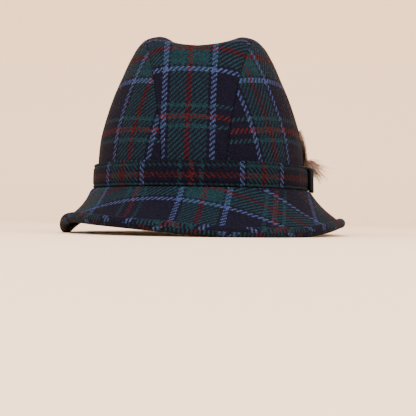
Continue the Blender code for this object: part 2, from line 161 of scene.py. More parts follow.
def ring_turns(height):
    """Turns of a ring's columns, all round, closest together at the seams."""
    power = 2 / read(WALL, height, "height", "squareness")
    share = read(WALL, height, "height", "seam") / read(WALL, height, "height", "width")
    at_seam = math.asin(share ** (1 / power))
    front = at_seam * np.sin(np.linspace(0, math.pi / 2, STRIP_HALF_COLUMNS + 1))
    side = (1 - np.cos(np.linspace(0, math.pi, SIDE_COLUMNS + 1))) / 2
    side = at_seam + side * (math.pi - 2 * at_seam)
    half = np.concatenate([front, side[1:], math.pi - front[-2::-1]])
    return np.concatenate([half, -half[-2:0:-1]])


def crown_grid():
    """Points of the crown's outer face, [ring][column], from the joint up and over into the dent."""
    heights = np.sin(np.linspace(0, math.pi / 2, WALL_RINGS + 1))
    rings = [wall_point(height, ring_turns(height)) for height in heights]
    edge, turns = rings[-1], ring_turns(1.0)
    ridge = RIDGE_RISE * np.sin(turns) ** 2 + FRONT_ROUNDING * np.cos(turns) ** 2
    bottom = JOINT_HEIGHT + CROWN_HEIGHT - DENT_DEPTH + DENT_END_LIFT * np.cos(turns) ** 2
    along = DENT_CENTRE - DENT_HALF_LENGTH * (1 - 2 * np.abs(turns) / math.pi)
    end = np.stack([np.full(len(turns), CROWN_ASIDE + CROWN_LEAN), along, bottom], axis=-1)
    for inward in np.linspace(0, 1, TOP_RINGS + 1)[1:] ** TOP_CROWDING:
        ring = edge + inward * (end - edge)
        fall = read(TOP, inward, "inward", "fall")
        rise = read(TOP, inward, "inward", "ridge") * ridge
        ring[:, 2] = edge[:, 2] + rise + fall * (bottom - edge[:, 2])
        rings.append(ring)
    return np.array(rings)


def grid_normals(grid):
    """Outward normals of a grid whose columns run round to the start again."""
    ahead = np.roll(grid, -1, axis=1) - np.roll(grid, 1, axis=1)
    return unit(np.cross(ahead, np.gradient(grid, axis=0)))


WAVE_SIZE = 0.045
WAVE_HEIGHT = 0.0006


def wave(points):
    """Slow unevenness of steamed cloth, in metres, at each point."""
    flat = points.reshape(-1, 3) / WAVE_SIZE
    return WAVE_HEIGHT * np.array([noise.noise(Vector(each)) for each in flat]).reshape(points.shape[:-1])


half = 2 * STRIP_HALF_COLUMNS + SIDE_COLUMNS
seam_columns = [STRIP_HALF_COLUMNS, STRIP_HALF_COLUMNS + SIDE_COLUMNS]
seam_columns += [2 * half - each for each in seam_columns[::-1]]
crown_outer = crown_grid()
crown_normals = grid_normals(crown_outer)
mirrored = -np.arange(2 * half) % (2 * half)
crown_normals[-1] = unit(crown_normals[-2] + crown_normals[-2][mirrored])
top_ring = np.minimum(np.arange(len(crown_outer)), WALL_RINGS)
seam_ends = [crown_outer[top_ring, at][:, None] for at in seam_columns]
off_seam = [np.linalg.norm(crown_outer - ends, axis=-1) for ends in seam_ends]
off_edge = np.linalg.norm(crown_outer - crown_outer[WALL_RINGS], axis=-1)
side_columns = np.zeros(2 * half, bool)
for start, stop in (seam_columns[:2], seam_columns[2:]):
    side_columns[start:stop + 1] = True
off_seam = np.minimum(np.min(off_seam, axis=0), np.where(side_columns, off_edge, np.inf))
into_roll = np.clip(1 - off_seam / SEAM_ROLL, 0, 1)
rise = wave(crown_outer) - SEAM_SINK * (1 - np.sqrt(1 - into_roll ** 2))
crown_outer = crown_outer + crown_normals * rise[..., None]
crown_inner = crown_outer - crown_normals * CROWN_CLOTH
crown_inner[0, :, 2] = crown_outer[0, :, 2]


def crown_face(ring, col):
    """Corners of a quad. The bottom line of the dent is shared by both sides."""
    last = WALL_RINGS + TOP_RINGS
    corners = [(ring, col), (ring, col + 1), (ring + 1, col + 1), (ring + 1, col)]
    corners = [(r, c % (2 * half)) for r, c in corners]
    return [(r, min(c, 2 * half - c) if r == last else c) for r, c in corners]


FLATTEN_ROUNDS = 40


def lay_flat(points, faces, foot, head):
    """Where each point of a panel lies when its cloth is flat, in metres from foot, with head above it."""
    keys = sorted({key for face in faces for key in face})
    index = {key: n for n, key in enumerate(keys)}
    mesh = bpy.data.meshes.new("flat")
    mesh.from_pydata([points[key] for key in keys], [], [[index[key] for key in face] for face in faces])
    mesh.uv_layers.new(name="flat")
    obj = bpy.data.objects.new("flat", mesh)
    bpy.context.scene.collection.objects.link(obj)
    for each in bpy.context.selected_objects:
        each.select_set(False)
    obj.select_set(True)
    bpy.context.view_layer.objects.active = obj
    bpy.ops.object.mode_set(mode="EDIT")
    bpy.ops.mesh.select_all(action="SELECT")
    bpy.ops.uv.unwrap(method="MINIMUM_STRETCH", fill_holes=False, margin=0.0, iterations=FLATTEN_ROUNDS)
    bpy.ops.object.mode_set(mode="OBJECT")
    flat = np.zeros((len(keys), 2))
    for loop, place in zip(mesh.loops, mesh.uv_layers["flat"].data):
        flat[loop.vertex_index] = place.uv
    bpy.data.objects.remove(obj)
    a, b = np.array([[index[face[0]], index[face[1]]] for face in faces]).T
    solid = np.array([points[key] for key in keys])
    real = np.linalg.norm(solid[a] - solid[b], axis=-1).sum()
    flat *= real / np.linalg.norm(flat[a] - flat[b], axis=-1).sum()
    flat -= flat[index[foot]]
    up = flat[index[head]]
    square_up = np.array([[up[1], up[0]], [-up[0], up[1]]]) / np.linalg.norm(up)
    return keys, flat @ square_up


THREAD = 0.000985
# How a piece was laid on the cloth: the turn of its warp and weft threads in degrees, how much closer than
# in the loose cloth they lie, and the thread at the piece's foot each way.
Laid = namedtuple("Laid", "warp_turn weft_turn warp_scale weft_scale warp weft")


def count_threads(places, laid):
    """Warp and weft counts at places on flat cloth, which are in metres from the piece's foot."""
    x, y = np.asarray(places).T / THREAD
    a, b = math.radians(laid.warp_turn), math.radians(laid.weft_turn)
    warp = laid.warp + laid.warp_scale * (math.cos(a) * x - math.sin(a) * y)
    weft = laid.weft + laid.weft_scale * (math.sin(b) * x + math.cos(b) * y)
    return np.stack([warp, weft], axis=-1)


WELD_DISTANCE = 1e-6
SHARP_ANGLE = 50


def make_piece(name, faces, points, threads, finish, weld=False):
    """A mesh piece from faces of named corners, with the cloth's thread counts as its UV map."""
    keys = sorted({key for face in faces for key in face})
    index = {key: n for n, key in enumerate(keys)}
    mesh = bpy.data.meshes.new(name)
    mesh.from_pydata([points[key] for key in keys], [], [[index[key] for key in face] for face in faces])
    layer = mesh.uv_layers.new(name="cloth")
    corners = [threads[key] for face in faces for key in face]
    layer.data.foreach_set("uv", np.array(corners, float).ravel())
    if weld:
        form = bmesh.new()
        form.from_mesh(mesh)
        bmesh.ops.remove_doubles(form, verts=form.verts, dist=WELD_DISTANCE)
        form.to_mesh(mesh)
        form.free()
    mesh.shade_smooth()
    mesh.set_sharp_from_angle(angle=math.radians(SHARP_ANGLE))
    mesh.materials.append(finish)
    obj = bpy.data.objects.new(name, mesh)
    bpy.context.scene.collection.objects.link(obj)
    return obj


def wall_faces(faces):
    """The outer faces, the same for the inside turned over, and the rim between them."""
    edges = {(f[n], f[(n + 1) % len(f)]) for f in faces for n in range(len(f))}
    outer = [[(*key, 0) for key in face] for face in faces]
    inner = [[(*key, 1) for key in reversed(face)] for face in faces]
    rim = [[(*b, 0), (*a, 0), (*a, 1), (*b, 1)] for a, b in sorted(edges) if (b, a) not in edges]
    return outer + inner + rim


class Socket:
    """A socket in a material's node tree. Sums on sockets that carry values add Math nodes."""

    def __init__(self, tree, socket=None):
        self.tree = tree
        self.socket = socket

    def node(self, kind, settings=None, sockets=None, output=0):
        made = self.tree.nodes.new(kind)
        for name, value in (settings or {}).items():
            if name == "stops":
                ramp = made.color_ramp
                while len(ramp.elements) < len(value):
                    ramp.elements.new(1.0)
                for element, (place, colour) in zip(ramp.elements, value):
                    element.position = place
                    element.color = (*colour, 1.0)
            elif name == "interpolation":
                made.color_ramp.interpolation = value
            else:
                setattr(made, name, value)
        for name, value in (sockets or {}).items():
            if isinstance(value, Socket):
                self.tree.links.new(value.socket, made.inputs[name])
            else:
                made.inputs[name].default_value = value
        return Socket(self.tree, made.outputs[output])

    def maths(self, operation, *others):
        sockets = dict(enumerate((self, *others)))
        return self.node("ShaderNodeMath", {"operation": operation}, sockets)

    def __add__(self, other):
        return self.maths("ADD", other)

    __radd__ = __add__

    def __sub__(self, other):
        return self.maths("SUBTRACT", other)

    def __rsub__(self, other):
        return self * -1.0 + other

    def __mul__(self, other):
        return self.maths("MULTIPLY", other)

    __rmul__ = __mul__

    def __mod__(self, other):
        return self.maths("FLOORED_MODULO", other)

    def __lt__(self, other):
        return self.maths("LESS_THAN", other)

    def __pow__(self, other):
        return self.maths("POWER", other)


# Colours of the yarn
NAVY = (0.0036, 0.0030, 0.0092)
GREEN = (0.0050, 0.0182, 0.0240)
BLUE = (0.0260, 0.0380, 0.0980)
RED = (0.0370, 0.0050, 0.0064)
# Half of the tartan's repeat, in threads from the middle of the first red stripe. The weft is packed a
# little closer than the warp, so it has more threads to the same stripes.
HALF_REPEAT = 54
WEFT_CLOSER = 1.06
Stripe = namedtuple("Stripe", "start colour")
STRIPES = [
    Stripe(0, RED),
    Stripe(2, GREEN),
    Stripe(14, NAVY),
    Stripe(16, BLUE),
    Stripe(20, NAVY),
    Stripe(45, GREEN),
    Stripe(48, NAVY),
    Stripe(52, RED),
]
# The twill's repeat and floats, and how far its lines wander, are in threads. A float is yarn that lies on
# top, and the warp lies a bit deeper than the weft. The yarn's colour carries painted shade, darkest in the
# hollows and on the deeper warp, and a painted highlight at each float's middle. Nap and flecks vary the
# tone.
TWILL_REPEAT = 4.0
FLOAT_LENGTH = 2.0
SWAY = 0.9
SWAY_SIZE = 0.0035
NAP_SIZE = 0.0007
HOLLOW_PAINTED_SHADE = 0.58
FLOAT_PAINTED_HIGHLIGHT = 0.6
WARP_SHADE = 0.14
NAP_TONE = 1.9
NAP_SHADE = 0.1
FLECK_TONE = 0.8
FLECK_LEAST = 0.65
NAP_RELIEF = 0.8
RELIEF_DEPTH = 0.0004
RELIEF_STRENGTH = 0.7


def new_finish(name):
    """A new material and the shader in it."""
    finish = bpy.data.materials.new(name)
    finish.use_nodes = True
    return finish, finish.node_tree.nodes["Principled BSDF"]


def wool(name, shade=1.0):
    """Tartan twill of wool yarn: two threads over, two under, with a soft nap."""
    finish, shader = new_finish(name)
    tree = finish.node_tree
    start = Socket(tree)
    place = start.node("ShaderNodeTexCoord", output="Object")
    cloth = start.node("ShaderNodeUVMap", {"uv_map": "cloth"})

    def speckle(vector, size, detail):
        sockets = {"Vector": vector, "Scale": 1 / size, "Detail": detail, "Roughness": 0.6}
        return start.node("ShaderNodeTexNoise", {}, sockets)

    sway = (speckle(place, SWAY_SIZE, 2.0) - 0.5) * SWAY
    nap = speckle(place, NAP_SIZE, 3.0)
    split = cloth.node("ShaderNodeSeparateXYZ", {}, {0: cloth})
    across = split + sway
    along = (Socket(tree, split.socket.node.outputs[1]) + sway) * WEFT_CLOSER
    warp = across.maths("FLOOR")
    weft = along.maths("FLOOR")
    stops = [(stripe.start / HALF_REPEAT, stripe.colour) for stripe in STRIPES]

    def yarn(thread):
        fold = thread.maths("PINGPONG", HALF_REPEAT) * (1 / HALF_REPEAT)
        return start.node("ShaderNodeValToRGB", {"interpolation": "CONSTANT", "stops": stops}, {0: fold})

    over = (warp - weft) % TWILL_REPEAT < FLOAT_LENGTH
    by_warp, by_weft = yarn(warp + 0.5), yarn((weft + 0.5) * (1 / WEFT_CLOSER))
    colour = start.node("ShaderNodeMix", {"data_type": "RGBA"}, {0: over, 6: by_weft, 7: by_warp}, 2)

    def float_height(side, centre):
        """Rounded across a thread, and along the stretch where it lies on top."""
        round_off = side * (1 - side) * 4
        from_centre = (centre % TWILL_REPEAT).maths("PINGPONG", FLOAT_LENGTH)
        return round_off.maths("SQRT") * (1 - from_centre ** 2.0).maths("MAXIMUM", 0.0)

    warp_height = float_height(across - warp, along - warp)
    weft_height = float_height(along - weft, across - weft - 3)
    height = over * warp_height + (1 - over) * weft_height
    cell = start.node("ShaderNodeCombineXYZ", {}, {0: warp, 1: weft})
    fleck = cell.node("ShaderNodeTexWhiteNoise", {"noise_dimensions": "2D"}, {"Vector": cell})
    # Painted shade: the yarn is drawn darker in the weave's hollows and on the warp, and lightest at a
    # float's middle.
    painted_weave_shade = (height * FLOAT_PAINTED_HIGHLIGHT + HOLLOW_PAINTED_SHADE) * (1 - over * WARP_SHADE)
    # A shade below 1 is painted shade over the whole cloth, as on the band.
    tone = painted_weave_shade * (nap * NAP_TONE - NAP_SHADE) * (fleck * FLECK_TONE + FLECK_LEAST) * shade
    grey = start.node("ShaderNodeCombineColor", {}, {0: tone, 1: tone, 2: tone})
    settings = {"data_type": "RGBA", "blend_type": "MULTIPLY"}
    base = start.node("ShaderNodeMix", settings, {0: 1.0, 6: colour, 7: grey}, 2)
    relief = {"Strength": RELIEF_STRENGTH, "Distance": RELIEF_DEPTH, "Height": height + nap * NAP_RELIEF}
    bump = start.node("ShaderNodeBump", {}, relief)
    tree.links.new(base.socket, shader.inputs["Base Color"])
    tree.links.new(bump.socket, shader.inputs["Normal"])
    shader.inputs["Roughness"].default_value = 0.95
    shader.inputs["Specular IOR Level"].default_value = 0.06
    return finish


tartan_cloth = wool("tartan_cloth")

CROWN_LAID = {
    "crown_strip": Laid(0.5, 2.3, 1.01, 0.97, 5.3, 5.1),
    "crown_side_left": Laid(-2.0, 7.2, 1.13, 0.93, 89.3, 17.1),
    "crown_side_right": Laid(-3.5, -9.4, 1.00, 0.94, -96.3, 20.9),
}
side_ranges = {"crown_side_left": seam_columns[:2], "crown_side_right": seam_columns[2:]}
panels = {
    name: [crown_face(ring, col) for ring in range(WALL_RINGS) for col in range(*ends)]
    for name, ends in side_ranges.items()
}
panels["crown_strip"] = [
    crown_face(ring, col)
    for ring in range(WALL_RINGS + TOP_RINGS)
    for col in range(2 * half)
    if ring >= WALL_RINGS or not any(start <= col < stop for start, stop in side_ranges.values())
]
middles = {"crown_strip": 0, "crown_side_left": half // 2, "crown_side_right": half + half // 2}
crown_points = {(*key, 0): crown_outer[key] for key in np.ndindex(crown_outer.shape[:2])}
crown_points |= {(*key, 1): crown_inner[key] for key in np.ndindex(crown_inner.shape[:2])}
for name, faces in panels.items():
    keys, flat = lay_flat(crown_outer, faces, (0, middles[name]), (WALL_RINGS // 2, middles[name]))
    threads = dict(zip(keys, count_threads(flat, CROWN_LAID[name])))
    threads = {(*key, layer): threads[key] for key in keys for layer in (0, 1)}
    panel = make_piece(f"{name}_cloth", wall_faces(faces), crown_points, threads, tartan_cloth)
    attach(panel, "root")
    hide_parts(name)

# Brim. Two layers of the same cloth sewn together, cut as an open ring that is joined behind, snapped down
# in front and at the sides and turned up at the back.
BRIM_CLOTH = 0.003
BRIM_LEDGE = 0.0002
BRIM_SAG = 0.0022
BRIM_SQUARENESS = 2.12
BRIM_CURL = 0.68
BRIM_EASE = 1.1
BRIM_LAID = Laid(10.0, 10.0, 1.0, 1.0, -9.7, -3.2)
CORD_RADIUS = 0.00375
BRIM_COLUMNS = 288
BRIM_RINGS = 28
BRIM_TUCK = 0.0006
EDGE_THINNING = 0.45
EDGE_THINNING_POWER = 14
cord_low, cord_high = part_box("brim_cord")
BRIM_WIDTH = cord_high[0] - cord_low[0] - 2 * CORD_RADIUS
BRIM_LENGTH = cord_high[1] - cord_low[1] - 2 * CORD_RADIUS

# Height of the corded edge round the hat, as a share of the joint's height. The turn is from the front, in
# degrees, and positive to the wearer's left.
Edge = namedtuple("Edge", "turn height")
EDGE = [
    Edge(-168, 1.380),
    Edge(-148, 0.980),
    Edge(-132, 0.670),
    Edge(-116, 0.480),
    Edge(-104, 0.350),
    Edge(-94, 0.210),
    Edge(-84, 0.084),
    Edge(-75, 0.160),
    Edge(-66, 0.290),
    Edge(-55, 0.345),
    Edge(-38, 0.305),
    Edge(-22, 0.250),
    Edge(-6, 0.180),
    Edge(10, 0.115),
    Edge(24, 0.092),
    Edge(40, 0.105),
    Edge(56, 0.180),
    Edge(72, 0.275),
    Edge(88, 0.275),
    Edge(106, 0.180),
    Edge(122, 0.083),
    Edge(136, 0.285),
    Edge(152, 0.900),
    Edge(168, 1.380),
    Edge(180, 1.480),
]


def brim_edge(turn):
    """Middle of the corded edge at turns from the front, in radians."""
    degrees = (np.degrees(turn) + 180) % 360 - 180
    round_again = [Edge(row.turn - 360, row.height) for row in EDGE[-2:]] + EDGE
    round_again += [Edge(row.turn + 360, row.height) for row in EDGE[:2]]
    power = 2 / BRIM_SQUARENESS
    x = BRIM_WIDTH / 2 * signed_power(np.sin(turn), power)
    y = -BRIM_LENGTH / 2 * signed_power(np.cos(turn), power)
    return np.stack([x, y, JOINT_HEIGHT * read(round_again, degrees, "turn", "height")], axis=-1)


def edge_direction(turn):
    step = math.pi / BRIM_COLUMNS
    return unit(brim_edge(turn + step) - brim_edge(turn - step))


# The turns start and end at the back, where the brim is joined.
brim_turns = np.linspace(-math.pi, math.pi, BRIM_COLUMNS + 1)
joint = wall_point(0.0, brim_turns)
edge = brim_edge(brim_turns)
outward = unit((edge - joint) * (1, 1, 0))
joint[:, 2] = JOINT_HEIGHT - BRIM_CLOTH / 2
ledge_end = joint + outward * (SEAT_GAP + BAND_CLOTH + BRIM_LEDGE)
slant = edge - ledge_end
square_run = np.linalg.norm(np.cross(slant, edge_direction(brim_turns)), axis=-1, keepdims=True)
reach = 1 - (CORD_RADIUS - BRIM_TUCK) / square_run
level = (slant * outward).sum(axis=-1, keepdims=True)
sunk = unit(outward * slant[:, 2:] - level * (0, 0, 1))
brim_middle = [joint - outward * CROWN_CLOTH, ledge_end]
for share in np.linspace(0, 1, BRIM_RINGS + 1)[1:]:
    share = share * reach
    brim_middle.append(ledge_end + share * slant + sunk * 4 * BRIM_SAG * share * (1 - share))
brim_middle = np.array(brim_middle)
ahead = np.gradient(brim_middle, axis=1)
ahead[:, 0] = ahead[:, -1] = brim_middle[:, 1] - brim_middle[:, -2]
brim_normals = unit(np.cross(ahead, np.gradient(brim_middle, axis=0)))
brim_normals *= np.sign(brim_normals[:, :, 2:])
to_edge = np.linspace(0, 1, len(brim_middle))[:, None, None]
half_cloth = BRIM_CLOTH / 2 * (1 - EDGE_THINNING * to_edge ** EDGE_THINNING_POWER)
brim_middle += brim_normals * wave(brim_middle)[..., None] * to_edge * (1 - to_edge) * 4
brim_sides = [brim_middle + brim_normals * half_cloth, brim_middle - brim_normals * half_cloth]
brim_keys = list(np.ndindex(brim_middle.shape[:2]))
brim_points = {(*key, layer): brim_sides[layer][key] for layer in (0, 1) for key in brim_keys}

# The cut follows the brim's oval, but less curved.
front = BRIM_COLUMNS // 2
run = np.diff(ledge_end[:, :2], axis=0)
bearing = BRIM_CURL * np.unwrap(np.arctan2(run[:, 1], run[:, 0]))
bearing -= (bearing[front - 1] + bearing[front]) / 2
run = np.linalg.norm(run, axis=-1) * BRIM_EASE * np.array([np.cos(bearing), np.sin(bearing)])
cut = np.concatenate([[[0.0, 0.0]], np.cumsum(run.T, axis=0)])
bearing = BRIM_CURL * np.unwrap(np.arctan2(outward[:, 1], outward[:, 0]))
bearing -= bearing[front] + math.pi / 2
steps = np.linalg.norm(np.diff(brim_middle, axis=0), axis=-1)
from_ledge = np.concatenate([0 * steps[:1], np.cumsum(steps, axis=0)]) - steps[0]
cut = cut - cut[front] + from_ledge[..., None] * np.stack([np.cos(bearing), np.sin(bearing)], axis=-1)
threads = dict(zip(brim_keys, count_threads(cut.reshape(-1, 2), BRIM_LAID)))
threads = {(*key, layer): threads[key] for key in brim_keys for layer in (0, 1)}
brim_faces = [
    [(ring + 1, col), (ring + 1, col + 1), (ring, col + 1), (ring, col)]
    for ring in range(len(brim_middle) - 1)
    for col in range(BRIM_COLUMNS)
]
walls = [face for face in wall_faces(brim_faces) if not {key[1] for key in face} <= {0, BRIM_COLUMNS}]
brim = make_piece("brim_cloth", walls, brim_points, threads, tartan_cloth, weld=True)
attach(brim, "root")
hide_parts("brim")

# Corded edge. A strip of the same cloth, cut on the slant of its weave so that it bends round the brim,
# is rolled over a cord and sewn to the brim's edge.
CORD_SIDES = 32
CORD_COLUMNS = 432
CORD_LAID = Laid(-45.0, -45.0, 1.0, 1.0, -340.5, 279.0)


def ring_faces(size, count):
    """Quads of a ring lofted through count sections of size points, with its last column at the first."""
    return [
        [(n, col), (n, col + 1), (n + 1, col + 1), (n + 1, col)]
        for col in range(count)
        for n in range(size)
    ]


cord_turns = np.linspace(-math.pi, math.pi, CORD_COLUMNS + 1)
middle = brim_edge(cord_turns)
along = edge_direction(cord_turns)
side = unit(np.cross(along, (0, 0, 1)))
up = np.cross(side, along)
run = np.concatenate([[0], np.cumsum(np.linalg.norm(np.diff(middle, axis=0), axis=-1))])
cord_points, cord_threads = {}, {}
for n in range(CORD_SIDES + 1):
    angle = 2 * math.pi * n / CORD_SIDES
    ring = middle + CORD_RADIUS * (side * math.cos(angle) + up * math.sin(angle))
    ring[:, 2] = np.maximum(ring[:, 2], 0.0)
    places = np.stack([run, np.full(len(run), CORD_RADIUS * angle)], axis=-1)
    for col, threads in enumerate(count_threads(places, CORD_LAID)):
        cord_points[n, col] = ring[col]
        cord_threads[n, col] = threads
faces = ring_faces(CORD_SIDES, CORD_COLUMNS)
cord = make_piece("brim_cord_roll", faces, cord_points, cord_threads, tartan_cloth, weld=True)
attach(cord, "root")
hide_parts("brim_cord")

# Band. The same cloth cut across, folded to a flat band with both folds stitched down, and sewn round the
# foot of the crown.
BAND_HEIGHT = band_high[2] - band_low[2]
STITCH_INSET = 0.0025
STITCH_WIDTH = 0.0007
STITCH_DEPTH = 0.0006
BAND_FOLD = 0.0012
BAND_FULLNESS = 0.1
BAND_SIDES = 44
BAND_BACK_STEP = 4
BAND_SHADE = 0.8
BAND_LAID = Laid(-90.0, -90.0, 1.0, 1.0, 55.3, 350.6)
# The band's cloth is the crown's cloth drawn darker by BAND_SHADE: painted shade.
band_cloth = wool("band_cloth", BAND_SHADE)
ups = BAND_HEIGHT * (1 - np.cos(np.linspace(0, math.pi, BAND_SIDES + 1))) / 2
from_edge = np.minimum(ups, BAND_HEIGHT - ups)
folded = np.sqrt(1 - np.clip(1 - from_edge / BAND_FOLD, 0, 1) ** 2)
fullness = 1 - BAND_FULLNESS + BAND_FULLNESS * np.sin(math.pi * ups / BAND_HEIGHT)
outs = BAND_CLOTH * folded * fullness
outs -= STITCH_DEPTH * np.exp(-(((from_edge - STITCH_INSET) / STITCH_WIDTH) ** 2))
profile = [(up, 0.0) for up in ups[::BAND_BACK_STEP]] + list(zip(ups, outs))[::-1][1:-1]
band_points, band_threads = {}, {}
run = np.linalg.norm(np.diff(wall_point(0.0, brim_turns), axis=0), axis=-1)
run = np.concatenate([[0], np.cumsum(run)])
size = len(profile)
for n in range(size + 1):
    up, out = profile[n % size]
    ring = wall_point(up / CROWN_HEIGHT, brim_turns, SEAT_GAP + out)
    ring[:, 2] = JOINT_HEIGHT + SEAT_GAP + up
    places = np.stack([run, np.full(len(run), up - BAND_HEIGHT / 2)], axis=-1)
    for col, threads in enumerate(count_threads(places, BAND_LAID)):
        band_points[n, col] = ring[col]
        band_threads[n, col] = threads
faces = [face[::-1] for face in ring_faces(size, BRIM_COLUMNS)]
band = make_piece("hat_band_cloth", faces, band_points, band_threads, band_cloth, weld=True)
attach(band, "root")
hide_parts("hat_band")

# Clasp. A glossy black plastic keeper, bent round the band with its corners rounded, holds the feathers.
CLASP_WIDTH = 0.024
CLASP_HEIGHT = 0.018
CLASP_DEPTH = 0.0045
CLASP_CORNER = 0.0021
CLASP_TOE = 0.0024
CLASP_FORWARD = 0.010
CLASP_SINK = 0.0004
CLASP_CUTS = 22


def side_turn(y):
    """The turn at which the foot of the crown's left side lies at a given y."""
    return math.acos(signed_power(-y / (HEAD_LENGTH / 2), WALL[0].squareness / 2))


gloss_black, shader = new_finish("gloss_black")
shader.inputs["Base Color"].default_value = (0.003, 0.003, 0.004, 1.0)
shader.inputs["Roughness"].default_value = 0.08
shader.inputs["Specular IOR Level"].default_value = 0.05
form = bmesh.new()
bmesh.ops.create_cube(form, size=2.0)
bmesh.ops.subdivide_edges(form, edges=form.edges, cuts=CLASP_CUTS, use_grid_fill=True)
half_size = np.array([CLASP_WIDTH, CLASP_DEPTH, CLASP_HEIGHT]) / 2
for vert in form.verts:
    place = half_size * np.sin(np.array(vert.co) * math.pi / 2)
    core = np.clip(place, CLASP_CORNER - half_size, half_size - CLASP_CORNER)
    place = core + unit(place - core) * CLASP_CORNER
    forward, away, rise = place + half_size * (0, 1, 1)
    turn = side_turn(-CLASP_FORWARD - forward)
    point = wall_point(rise / CROWN_HEIGHT, turn, BAND_CLOTH + CLASP_SINK * (away / CLASP_DEPTH - 1) + away)
    point[2] = JOINT_HEIGHT + SEAT_GAP + rise - CLASP_TOE * away / CLASP_DEPTH * (1 - rise / CLASP_HEIGHT)
    vert.co = point
mesh = bpy.data.meshes.new("feather_clasp_gloss")
form.to_mesh(mesh)
form.free()
mesh.shade_smooth()
mesh.materials.append(gloss_black)
clasp = bpy.data.objects.new("feather_clasp_gloss", mesh)
bpy.context.scene.collection.objects.link(clasp)
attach(clasp, "root")
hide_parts("feather_clasp")

# Plume. A few thin brown feathers lie back along the crown's side from the clasp. Each is a shaft with fine
# barbs, and loose down grows from their foot out over the clasp.
PLUME_HEAD_RADIUS = 0.0032
PLUME_ROOT = 0.0008
FEATHER_LENGTH = 0.068
FEATHER_WIDTH = 0.013
FEATHER_LIFT = 0.0016
FEATHER_BULGE = 0.7
FEATHER_CUP = 0.0018
FEATHER_REACH_WALL = 0.2
FEATHER_STATIONS = 24
SHAFT_THICKNESS = 0.0007
SHAFT_TINT = 0.9
BARE_QUILL = 0.06
BARBED_SHARE = 0.93
BARB_SPACING = 0.00042
BARB_WIDTH = 0.0005
BARB_SLANT = 38
BARB_BEND = 0.4
BARB_LEAST = 0.82
BARB_TINT = 0.35
BARB_STEPS = (0.0, 0.35, 0.7, 1.0)
HAIR_TAPER = 0.75
DOWN_LENGTH = 0.0168
DOWN_DROOP = 0.22
DOWN_BEND = 0.1
DOWN_THICKNESS = 0.0003
DOWN_STATIONS = 6
DOWN_IN_LOCK = 36
LEAN_SPREAD = 7
ASIDE_SPREAD = 9
ROOT_SPREAD = 0.5
ROOT_REACH = 1.5
TWIGS = 6
TWIG_SHORTEST = 0.0008
TWIG_LONGEST = 0.0028
TWIG_SAG = 0.0002
SLOPE_STEP = 0.05
# Lean is the angle from upright towards the back of the hat, in degrees. The rest are shares.
Feather = namedtuple("Feather", "lean length width lift")
FEATHERS = [
    Feather(84, 0.85, 0.92, 1.00),
    Feather(73, 1.00, 1.00, 0.88),
    Feather(62, 0.80, 1.00, 0.78),
    Feather(46, 0.56, 0.85, 0.70),
    Feather(22, 0.44, 0.66, 0.64),
]
Vane = namedtuple("Vane", "along width")
VANE = [Vane(0.0, 0.20), Vane(0.2, 0.74), Vane(0.5, 1.0), Vane(0.8, 0.76), Vane(1.0, 0.16)]
# Locks of down. Out is the angle away from upright and back the angle towards the back of the hat.
Lock = namedtuple("Lock", "out back length")
TUFT = [
    Lock(94, -34, 0.44),
    Lock(105, -14, 0.84),
    Lock(116, -28, 0.84),
    Lock(122, 4, 1.00),
    Lock(114, 28, 0.96),
    Lock(110, 36, 0.90),
    Lock(92, 16, 0.46),
    Lock(134, -20, 0.70),
    Lock(138, 10, 0.76),
]
chance = random.Random(7)
plume_turn = side_turn(-CLASP_FORWARD)
over = max(CLASP_HEIGHT, BAND_HEIGHT) + SEAT_GAP + PLUME_HEAD_RADIUS
plume_height = over / (CROWN_HEIGHT * float(read(CREST, math.degrees(plume_turn), "turn", "height")))
plume_root = wall_point(plume_height, plume_turn, PLUME_ROOT)
plume_points, plume_corners, plume_faces = {}, {}, []


def add_hair(path, width, thickness, face, tint):
    """A thin tapering three-sided hair along a path. Its UV is how far along it is, and its tint."""
    first = len(plume_points)
    for n, point in enumerate(path):
        share = n / (len(path) - 1)
        ahead = path[min(n + 1, len(path) - 1)] - path[max(n - 1, 0)]
        side = unit(np.cross(face, ahead))
        taper = 1 - HAIR_TAPER * share ** 2
        corners = [point + side * width * taper / 2, point + unit(face) * thickness * taper]
        for corner in (*corners, point - side * width * taper / 2):
            plume_corners[len(plume_points)] = (share, tint)
            plume_points[len(plume_points)] = corner
    for n in range(len(path) - 1):
        for k in range(3):
            a, b = first + 3 * n + k, first + 3 * n + (k + 1) % 3
            plume_faces.append([a, b, b + 3, a + 3])
    end = first + 3 * (len(path) - 1)
    plume_faces.append([first + 2, first + 1, first])
    plume_faces.append([end, end + 1, end + 2])


def feather_line(row, share):
    """Middle of a feather at shares of its length, and the way across it."""
    lean, lift = math.radians(row.lean), row.lift * FEATHER_LIFT
    run = row.length * FEATHER_LENGTH * share
    height = plume_height + run * math.cos(lean) / CROWN_HEIGHT
    around = plume_turn + run * math.sin(lean) / ((HEAD_WIDTH + HEAD_LENGTH) / 4)
    stand = lift * (1 + FEATHER_BULGE * np.sin(math.pi * share) * (1 - share))
    blend = np.minimum(1.0, share / FEATHER_REACH_WALL)[:, None]
    middle = plume_root * (1 - blend) + wall_point(height, around, stand) * blend
    level = wall_point(height, around + SLOPE_STEP, stand) - wall_point(height, around - SLOPE_STEP, stand)
    rise = wall_point(height + SLOPE_STEP, around, stand) - wall_point(height - SLOPE_STEP, around, stand)
    return middle, unit(level) * math.cos(lean) - unit(rise) * math.sin(lean)


def along_line(line, shares, at):
    return np.array([np.interp(at, shares, line[:, axis]) for axis in range(3)])


